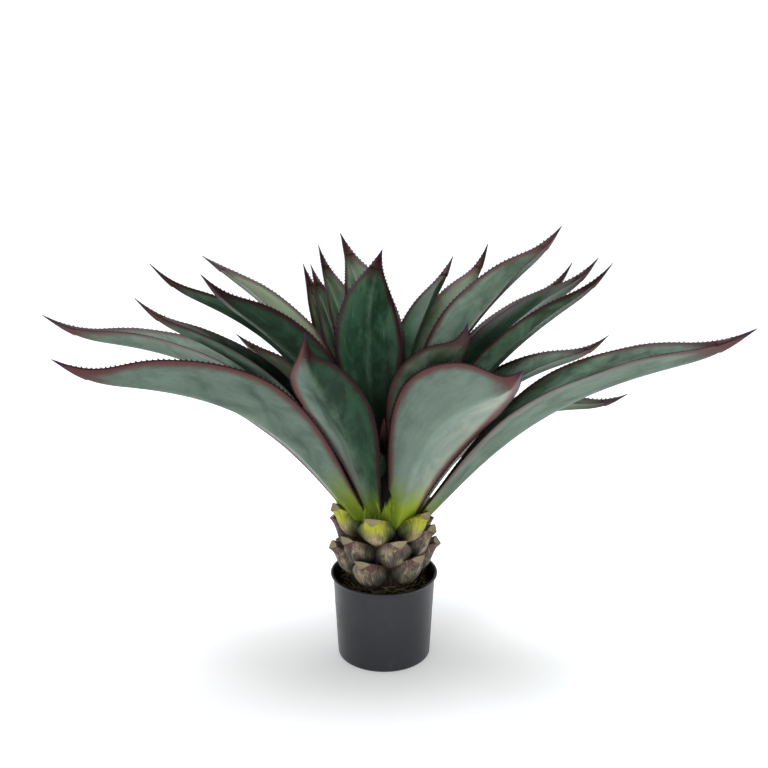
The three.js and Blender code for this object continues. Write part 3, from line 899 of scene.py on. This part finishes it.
def stub_mesh(azimuth, top, seed):
    """One cut stub: streaked rounded body, hollow back, sunken cut face."""
    wanted = STUB_HEIGHT * (1 - np.linspace(0, 1, STUB_ROWS_UP) ** 0.8)
    ring_values = through(-STUB_RINGS[:, 0], STUB_RINGS[:, 1:], -wanted)
    points, rise_layer, side_layer = [], [], []
    seat = seed * 5.3
    for drop, ring_value in zip(wanted, ring_values):
        keel, keel_drop, shoulder, shoulder_half, corner, corner_half = ring_value
        knots = np.array([-1, -0.5, 0, 0.5, 1])
        control = np.array([
            [corner, -corner_half, 0],
            [shoulder, -shoulder_half, keel_drop / 2],
            [keel, 0, keel_drop],
            [shoulder, shoulder_half, keel_drop / 2],
            [corner, corner_half, 0],
        ])
        u = np.linspace(-1, 1, STUB_FRONT)
        soft = through(knots, control, u)
        ridged = np.stack([np.interp(u, knots, control[:, axis]) for axis in range(3)], -1)
        rim = (soft + ridged) / 2
        share = np.linspace(0, 1, STUB_BACK + 2)[1:-1]
        hollow = STUB_HOLLOW * np.sin(math.pi * share) * (drop < 20)
        behind = np.stack([corner - hollow, corner_half * (1 - 2 * share), np.zeros(STUB_BACK)], -1)
        ring = np.vstack([rim, behind])
        for k, (radius, side, lower) in enumerate(ring):
            z = top - drop - lower
            wave = 0.0
            if k < STUB_FRONT:
                streak = noise.noise(Vector((side / 2.2, drop / 26, seat)))
                lump = noise.noise(Vector((side / 11, drop / 14, seat + 9)))
                wave = (0.45 * streak + 0.9 * lump) * (1 - abs(u[k]) ** 4)
                wave *= float(ease(0, 4, drop))
            angle = azimuth + side / STEM_RADIUS
            points.append([(radius + wave) * math.cos(angle), (radius + wave) * math.sin(angle), z])
            rise_layer.append(1 - drop / STUB_HEIGHT)
            side_layer.append(side / STUB_HALF_WIDTH)
    columns = STUB_FRONT + STUB_BACK
    points = np.array(points)
    faces = around(STUB_ROWS_UP, columns)
    last = (STUB_ROWS_UP - 1) * columns
    kinds = [0] * len(faces)
    top_centre = points[last:last + columns].mean(0)
    bottom_centre = points[:columns].mean(0)
    rim_inner = points[last:last + columns] * 0.9 + top_centre * 0.1
    rim_inner[:, 2] -= 0.5
    deep = points[last:last + columns] * 0.5 + top_centre * 0.5
    deep[:, 2] -= 0.9
    rim_first = len(points)
    deep_first = rim_first + columns
    points = np.vstack([points, rim_inner, deep, [top_centre - [0, 0, 1.0]], [bottom_centre]])
    for j in range(columns):
        k = (j + 1) % columns
        faces.append([last + j, last + k, rim_first + k, rim_first + j])
        faces.append([rim_first + j, rim_first + k, deep_first + k, deep_first + j])
        faces.append([deep_first + j, deep_first + k, len(points) - 2])
        kinds += [1, 1, 1]
        faces.append([k, j, len(points) - 1])
        kinds.append(0)
    extra = len(points) - len(rise_layer)
    rise_layer += [1.0] * (extra - 1) + [0.0]
    side_layer += [0.0] * extra
    return points, outward(points, faces), kinds, rise_layer, side_layer


def core_profile():
    """Radius and height of the stem, its heart and its spike, from the foot up."""
    foot = STEM_FOOT + SEAT_GAP
    fill = FILL_TOP + SEAT_GAP
    profile = [(0, foot), (STEM_FOOT_RADIUS, foot), (STEM_FOOT_RADIUS, fill), (STEM_RADIUS, fill)]
    profile += spread((STEM_RADIUS, fill), (STEM_RADIUS, HEART_BASE), 30)
    for turn in np.linspace(0, math.pi / 2, 16)[:-1]:
        radius = STEM_RADIUS * math.cos(turn)
        if radius > SPIKE_RADIUS + 1:
            profile.append((radius, HEART_BASE + (HEART_TOP - HEART_BASE) * math.sin(turn)))
    for z in np.linspace(HEART_TOP, SPIKE_TOP - 3, 16):
        if z < SPIKE_WAIST:
            share = (SPIKE_WAIST_RADIUS - SPIKE_RADIUS) * (z - HEART_TOP)
            radius = SPIKE_RADIUS + share / (SPIKE_WAIST - HEART_TOP)
        else:
            radius = SPIKE_WAIST_RADIUS * ((SPIKE_TOP - z) / (SPIKE_TOP - SPIKE_WAIST)) ** 0.8
        profile.append((radius, z))
    return profile + [(0, SPIKE_TOP)]


def trunk_mesh():
    """Core with ridges, rounded heart, furled spike and all stubs."""
    points, faces, kinds = [], [], []
    layers = {"rise": [], "side": [], "row": [], "seed": []}

    def join(new_points, new_faces, new_kinds, *values):
        shift = sum(len(part) for part in points)
        points.append(new_points)
        faces.extend([[corner + shift for corner in face] for face in new_faces])
        kinds.extend(new_kinds)
        for layer, value in zip(layers.values(), values):
            layer.extend(np.broadcast_to(value, len(new_points)))

    core, core_faces = lathe(core_profile(), 96)
    height = core[:, 2]
    radial = np.hypot(core[:, 0], core[:, 1])
    turn = np.arctan2(core[:, 1], core[:, 0])
    ridges = 0.5 * np.sin(turn * STEM_RIDGES + 2 * relief(core, 30, 3)) + 0.6 * relief(core, 9, 7)
    low = (height > FILL_TOP + 1) & (height < HEART_TOP - 5)
    furl = 0.9 * np.maximum(np.cos(turn + (height - HEART_TOP) * 0.05), 0) ** 6
    change = np.where(low, ridges - 0.6, 0) - np.where(height > HEART_TOP + 1, furl, 0) * (radial > 1)
    rise = np.clip((height - FILL_TOP) / (SPIKE_TOP - FILL_TOP), 0, 1)
    heart_row = np.where(height > HEART_BASE - 10, -1.0, 2.0)
    core[:, :2] *= ((radial + change) / np.maximum(radial, 1e-6))[:, None]
    join(core, core_faces, [2] * len(core_faces), rise, turn / math.pi, heart_row, 0)

    for row, stubs in enumerate(STUB_ROWS):
        for i, (azimuth, top) in enumerate(stubs):
            seed = row * len(stubs) + i + 1
            join(*stub_mesh(math.radians(azimuth), top, seed), row, seed)
    return np.vstack(points), faces, kinds, {name: np.array(layer) for name, layer in layers.items()}


def stub_finish(settings):
    """Stub skin: lime and tan on the newest row, brown, purple and tan on the older ones,
    with painted shade on the flanks and at the foot of each stub.
    """
    bark = Finish("stub_skin", Specular_IOR_Level=0.4)
    rise = bark.attribute("rise")
    side = bark.attribute("side")
    row = bark.attribute("row")
    seed = bark.attribute("seed")
    combine = bark.tree.nodes.new("ShaderNodeCombineXYZ")
    bark.put(combine.inputs[0], side)
    bark.put(combine.inputs[1], rise)
    bark.put(combine.inputs[2], seed)
    own = combine.outputs[0]
    streaks = bark.noise(bark.scaled(own, (16, 2.2, 3.7)), detail=4, rough=0.65)
    threads = bark.noise(bark.scaled(own, (42, 3.0, 3.7)), detail=2)
    patches = bark.noise(bark.scaled(own, (3.0, 2.4, 5.1)), detail=4, rough=0.6, distortion=0.6)
    flank = bark.math("ABSOLUTE", side)

    old = bark.mix(bark.span(streaks, 0.35, 0.65), settings.brown, TINTS["stub_dark"])
    dry = bark.math("MULTIPLY", bark.span(patches, 0.47, 0.62, 0.0, 0.7),
                    bark.span(flank, 0.35, 0.85, 1.0, 0.25))
    old = bark.mix(dry, old, settings.tan)
    upper = bark.math("MULTIPLY", bark.span(rise, 0.55, 0.85), bark.span(patches, 0.35, 0.6, 1.0, 0.3))
    old = bark.mix(bark.math("MULTIPLY", upper, 0.85), old, settings.purple)

    # Painted shade: the newest stubs turn darker olive towards their flanks
    sides = bark.math("ADD", flank, bark.math("MULTIPLY", streaks, 0.6))
    fresh = bark.mix(bark.span(sides, 0.45, 0.95), settings.lime, TINTS["stub_painted_flank_shade"])
    belly = bark.span(bark.math("MULTIPLY_ADD", streaks, 0.5, rise), 0.55, 0.95, 1.0, 0.0)
    belly = bark.math("MULTIPLY", belly, bark.span(flank, 0.3, 0.6, 1.0, 0.0))
    dry_belly = bark.mix(bark.span(patches, 0.35, 0.6), settings.tan, TINTS["stub_belly"])
    fresh = bark.mix(belly, fresh, dry_belly)
    colour = bark.mix(bark.span(row, 0.1, 0.9), fresh, old)
    colour = bark.mix(bark.span(threads, 0.45, 0.7, 0.0, 0.45), colour, TINTS["stub_line"])
    colour = bark.mix(bark.span(threads, 0.42, 0.28, 0.0, 0.4), colour, TINTS["stub_pale"])
    # Painted shade: the lower flanks and the foot of each stub darken, where the stubs shade each other
    flank_painted_shade = bark.math("MULTIPLY", bark.span(flank, 0.25, 0.75), bark.span(rise, 0.45, 0.7, 0.9, 0.0))
    low = bark.span(rise, 0.0, 0.2, 0.7, 0.0)
    colour = bark.mix(bark.math("MAXIMUM", flank_painted_shade, low), colour, TINTS["stub_painted_shade"])
    rough = bark.span(streaks, 0.3, 0.7, 0.5, 0.75)
    fine = bark.relief(threads, 0.0003, 0.7)
    normal = bark.relief(streaks, 0.0008, 0.7, fine)
    return bark.finish(Base_Color=colour, Roughness=rough, Normal=normal)


def cut_finish(settings):
    """Pale open pores of a cut face, with brown stains."""
    cut = Finish("cut_fibres", Specular_IOR_Level=0.25)
    place = cut.position()
    pores = cut.noise(place, scale=700, detail=4, rough=0.7)
    stains = cut.noise(place, scale=90, detail=3)
    colour = cut.mix(cut.span(pores, 0.3, 0.7), TINTS["cut_pore"], settings.cut)
    colour = cut.mix(cut.span(stains, 0.5, 0.75, 0.0, 0.4), colour, TINTS["cut_stain"])
    rough = cut.span(pores, 0.3, 0.7, 0.95, 0.8)
    return cut.finish(Base_Color=colour, Roughness=rough, Normal=cut.relief(pores, 0.0004, 0.8))


def core_finish(settings):
    """Stem: dark and fibrous, lime where the front leaves' roots clasp it, purple at the spike,
    and near-black painted shade on the heart deep in the rosette.
    """
    core = Finish("stem_core", Specular_IOR_Level=0.1)
    place = core.position()
    rise = core.attribute("rise")
    row = core.attribute("row")
    threads = core.noise(core.scaled(place, (260, 260, 30)), detail=4, rough=0.6)
    dark = core.mix(core.span(threads, 0.35, 0.65), TINTS["stem_dark"], TINTS["stem_light"])
    apart = core.math("ABSOLUTE", core.math("SUBTRACT", core.attribute("side"), FRONT_GAP))
    clasp = core.math("SUBTRACT", core.math("MULTIPLY_ADD", apart, 0.83, CLASP_FROM), rise)
    clasp = core.math("MULTIPLY", core.span(clasp, -0.02, 0.02), core.span(rise, 0.6, 0.7, 1.0, 0.0))
    lime = core.mix(core.span(threads, 0.35, 0.65), TINTS["clasp_dark"], TINTS["clasp_light"])
    # Painted shade: the heart is near black, standing for the shade deep in the rosette
    green = core.mix(core.span(threads, 0.35, 0.65), TINTS["heart_shade_deep"], TINTS["heart_shade_pale"])
    green = core.mix(clasp, green, lime)
    green = core.mix(core.span(rise, 0.86, 0.98), green, settings.purple)
    colour = core.mix(core.span(row, 0.5, -0.5), dark, green)
    rough = core.span(threads, 0.3, 0.7, 0.6, 0.85)
    return core.finish(Base_Color=colour, Roughness=rough, Normal=core.relief(threads, 0.0008, 0.8))


def fill_mesh(crumb):
    """Points and faces of the fill with its crumbled top, and the radius of that top."""
    bottom = POT_FLOOR + SEAT_GAP
    slope = (BODY_TOP_RADIUS - BODY_FOOT_RADIUS) / (POT_HEIGHT - 2 * RIM_DEPTH - POT_FLOOR)
    inside = BODY_FOOT_RADIUS - POT_WALL - 2 * SEAT_GAP
    outer = inside + slope * (FILL_TOP - POT_FLOOR)
    hole = STEM_FOOT_RADIUS + SEAT_GAP
    profile = [(0, bottom), (inside, bottom)]
    profile += spread((inside, bottom), (outer, FILL_TOP), 6)
    profile += [(outer, FILL_TOP)]
    profile += spread((outer, FILL_TOP), (hole, FILL_TOP), 16)
    profile += [(hole, FILL_TOP), (hole, STEM_FOOT), (0, STEM_FOOT)]
    points, faces = lathe(profile, 128)
    radial = np.hypot(points[:, 0], points[:, 1])
    surface = (np.abs(points[:, 2] - FILL_TOP) < 0.01) & (radial > hole + 1) & (radial < outer - 0.5)
    crumbs = relief(points, 3.1, 1) * 0.6 + relief(points, 8, 2) * 0.7
    points[:, 2] -= np.where(surface, crumb * (0.7 - crumbs * 0.7), 0)
    return points, faces, outer


def moss_paths(count, outer):
    """Paths and radii of the dry moss strands round the trunk's foot, half of them in front."""
    random = np.random.default_rng(MOSS_SEED)
    paths, radii = [], []
    for strand in range(count):
        azimuth = random.uniform(0, 2 * math.pi)
        if random.uniform() < MOSS_FRONT_SHARE:
            azimuth = math.radians(random.normal(-90, MOSS_FRONT_SPREAD))
        radius = random.uniform(STEM_RADIUS + 2, STEM_RADIUS + 15)
        height = random.uniform(1, 24) * (STEM_RADIUS + 18 - radius) / 16
        path = [np.array([radius * math.cos(azimuth), radius * math.sin(azimuth), FILL_TOP + height])]
        heading = azimuth + random.choice([-1, 1]) * random.uniform(0.9, 2.1)
        length = random.uniform(8, 24)
        turn = random.uniform(-1.6, 1.6)
        climb = random.uniform(-0.25, 0.35)
        for step in range(MOSS_STEPS):
            share = step / MOSS_STEPS
            angle = heading + turn * share
            move = np.array([math.cos(angle), math.sin(angle), climb * (1 - 2 * share)])
            place = path[-1] + move * length / MOSS_STEPS
            flat = math.hypot(place[0], place[1])
            place[:2] *= min(max(flat, STEM_RADIUS + 0.5), outer - 3) / flat
            place[2] = max(place[2] - 0.25, FILL_TOP + 0.2)
            path.append(place)
        paths.append(np.array(path))
        radii.append(random.uniform(0.22, 0.42))
    return paths, radii


def thread_paths():
    """Paths and radii of the short green threads that stand between the leaf roots."""
    random = np.random.default_rng(THREAD_SEED)
    paths, radii = [], []
    for start in np.radians(THREAD_AZIMUTHS):
        azimuth = start + random.uniform(-0.03, 0.03)
        radius = random.uniform(50, 57)
        foot = [radius * math.cos(azimuth), radius * math.sin(azimuth), random.uniform(234, 240)]
        lean = random.uniform(-0.5, 0.5)
        path = [np.array(foot)]
        for step in range(THREAD_STEPS):
            turn = azimuth + lean * (1 + step * 0.5)
            move = np.array([0.45 * math.cos(turn), 0.45 * math.sin(turn), 1.0])
            path.append(path[-1] + move * THREAD_STEP)
        paths.append(np.array(path))
        radii.append(random.uniform(0.25, 0.4))
    return paths, radii


def studio_sweep(settings):
    """Pale floor that bends up all round into a wall and gives off a little light."""
    bend = np.radians(range(6, 91, 6))
    profile = [(r, 0.0) for r in (0.3, 0.8, 1.6, 2.6, SWEEP_FLAT)]
    profile += [(SWEEP_FLAT + SWEEP_BEND * math.sin(a), SWEEP_BEND * (1 - math.cos(a))) for a in bend]
    points = np.vstack([[[0, 0, 0]]] + [ring_of(r, z, SWEEP_COLUMNS) for r, z in profile])
    faces = [[0, 1 + j, 1 + (j + 1) % SWEEP_COLUMNS] for j in range(SWEEP_COLUMNS)]
    faces += [face[::-1] for face in around(len(profile), SWEEP_COLUMNS, 1)]
    mesh = bpy.data.meshes.new("studio_sweep")
    mesh.from_pydata(points.tolist(), [], faces)
    mesh.polygons.foreach_set("use_smooth", [True] * len(mesh.polygons))
    paper = Finish("studio_paper", Specular_IOR_Level=0.2)
    shade = paper.noise(paper.position(), scale=1.2, detail=2)
    colour = paper.mix(paper.span(shade, 0.3, 0.7), settings.floor, (0.88, 0.88, 0.885))
    rough = paper.span(shade, 0.3, 0.7, 0.8, 0.9)
    mesh.materials.append(paper.finish(Base_Color=colour, Roughness=rough,
                                       Emission_Color=(1.0, 1.0, 1.0), Emission_Strength=settings.glow))
    sweep = bpy.data.objects.new("studio_sweep", mesh)
    sweep.location.z = -SWEEP_DROP
    bpy.context.scene.collection.objects.link(sweep)


def softbox(name, place, aim, size, power, colour):
    """Rectangular lamp at place that shines towards aim."""
    light = bpy.data.lights.new(name, "AREA")
    light.shape = "RECTANGLE"
    light.size, light.size_y = size
    light.energy = power
    light.color = colour
    lamp = bpy.data.objects.new(name, light)
    lamp.location = place
    lamp.rotation_euler = (Vector(aim) - Vector(place)).to_track_quat("-Z", "Y").to_euler()
    bpy.context.scene.collection.objects.link(lamp)


class ALOE_OT_pot(bpy.types.Operator):
    """Build the pot with its thin overhanging lip"""

    bl_idname = "aloe.pot"
    bl_label = "Pot"

    def execute(self, context):
        settings = context.scene.aloe_pot
        points, faces = lathe(pot_profile(settings.rounding / MM), 144)
        add_piece("pot_shell", points, faces, [plastic_finish(settings)], ["pot"])
        return {"FINISHED"}


class ALOE_OT_fill(bpy.types.Operator):
    """Build the crumbly planting fill and the dry moss round the trunk's foot"""

    bl_idname = "aloe.fill"
    bl_label = "Planting fill"

    def execute(self, context):
        settings = context.scene.aloe_fill
        points, faces, outer = fill_mesh(settings.crumb / MM)
        soil = soil_finish(settings)
        add_piece("fill_crumb", points, faces, [soil], ["planting_fill"])
        tubes, tube_faces, tones = strand_tubes(*moss_paths(settings.strands, outer))
        moss = moss_finish("dry_moss", settings.moss, TINTS["moss_shade"])
        add_piece("moss_strands", tubes, tube_faces, [moss], layers={"tone": tones})
        return {"FINISHED"}


class ALOE_OT_trunk(bpy.types.Operator):
    """Build the trunk with its cut leaf stubs, heart and furled spike"""

    bl_idname = "aloe.trunk"
    bl_label = "Trunk"

    def execute(self, context):
        settings = context.scene.aloe_trunk
        points, faces, kinds, layers = trunk_mesh()
        materials = [stub_finish(settings), cut_finish(settings), core_finish(settings)]
        add_piece("trunk_stubs", points, faces, materials, ["trunk"], layers, kinds)
        tubes, tube_faces, tones = strand_tubes(*thread_paths())
        threads = moss_finish("leaf_threads", TINTS["thread"], TINTS["thread_shade"])
        add_piece("leaf_threads", tubes, tube_faces, [threads], layers={"tone": tones})
        return {"FINISHED"}


class ALOE_OT_leaves(bpy.types.Operator):
    """Build every leaf with its fine saw teeth, channel, keel and spine"""

    bl_idname = "aloe.leaves"
    bl_label = "Leaves"

    def execute(self, context):
        settings = context.scene.aloe_leaf
        skin = leaf_finish(settings)
        for number, leaf in enumerate(LEAVES, start=1):
            points, faces, layers = leaf_mesh(leaf, number, settings)
            add_piece(f"blade_{number:02d}", points, faces, [skin],
                      [f"leaf_{number:02d}"], layers)
        return {"FINISHED"}


class ALOE_OT_stage(bpy.types.Operator):
    """Build the pale floor that sweeps up all round, the soft lights and the camera"""

    bl_idname = "aloe.stage"
    bl_label = "Studio"

    def execute(self, context):
        settings = context.scene.aloe_stage
        studio_sweep(settings)
        world = bpy.data.worlds.new("studio_light")
        world.use_nodes = True
        background = world.node_tree.nodes["Background"]
        background.inputs["Color"].default_value = (0.93, 0.965, 1.0, 1)
        background.inputs["Strength"].default_value = settings.ambient
        context.scene.world = world

        softbox("softbox_top", KEY_PLACE, LIGHT_AIM, KEY_SIZE, settings.key_power, (0.95, 0.98, 1))
        softbox("softbox_front", FRONT_PLACE, LIGHT_AIM, FRONT_SIZE, settings.front_power,
                (1, 0.99, 0.97))
        for turn in np.radians(range(0, 360, WALL_LIGHT_TURN)):
            out = np.array([math.cos(turn), math.sin(turn), 0])
            softbox("wall_light", out * 2.3 + [0, 0, 2.7], out * 5.2 + [0, 0, 0.8], WALL_LIGHT_SIZE,
                    settings.wall_power, (1, 1, 1))

        camera = bpy.data.cameras.new("photo_camera")
        camera.lens = CAMERA_LENS
        camera.sensor_width = SENSOR_WIDTH
        camera.clip_end = 50
        eye = bpy.data.objects.new("photo_camera", camera)
        eye.location = CAMERA_PLACE
        eye.rotation_euler = (math.radians(CAMERA_TILT), 0, 0)
        context.scene.collection.objects.link(eye)
        context.scene.camera = eye
        context.scene.view_settings.view_transform = "Standard"
        return {"FINISHED"}


class ALOE_PT_panel(bpy.types.Panel):
    """Lists the steps that build the plant"""

    bl_idname = "ALOE_PT_panel"
    bl_label = "Potted aloe"
    bl_space_type = "VIEW_3D"
    bl_region_type = "UI"
    bl_category = "Aloe"

    def draw(self, context):
        for operator in OPERATORS:
            self.layout.operator(operator.bl_idname)
        for label, group in GROUPS.items():
            box = self.layout.box()
            for entry in group.__annotations__:
                box.prop(getattr(context.scene, label), entry)


GROUPS = {
    "aloe_leaf": AloeLeafSettings,
    "aloe_trunk": AloeTrunkSettings,
    "aloe_pot": AloePotSettings,
    "aloe_fill": AloeFillSettings,
    "aloe_stage": AloeStageSettings,
}
OPERATORS = (ALOE_OT_stage, ALOE_OT_pot, ALOE_OT_fill, ALOE_OT_trunk, ALOE_OT_leaves)
CLASSES = (*GROUPS.values(), *OPERATORS, ALOE_PT_panel)


def register():
    for entry in CLASSES:
        bpy.utils.register_class(entry)
    for label, group in GROUPS.items():
        setattr(bpy.types.Scene, label, bpy.props.PointerProperty(type=group))


def unregister():
    for label in GROUPS:
        delattr(bpy.types.Scene, label)
    for entry in reversed(CLASSES):
        bpy.utils.unregister_class(entry)


def main():
    register()
    bpy.ops.aloe.stage()
    bpy.ops.aloe.pot()
    bpy.ops.aloe.fill()
    bpy.ops.aloe.trunk()
    bpy.ops.aloe.leaves()


if __name__ == "__main__":
    main()
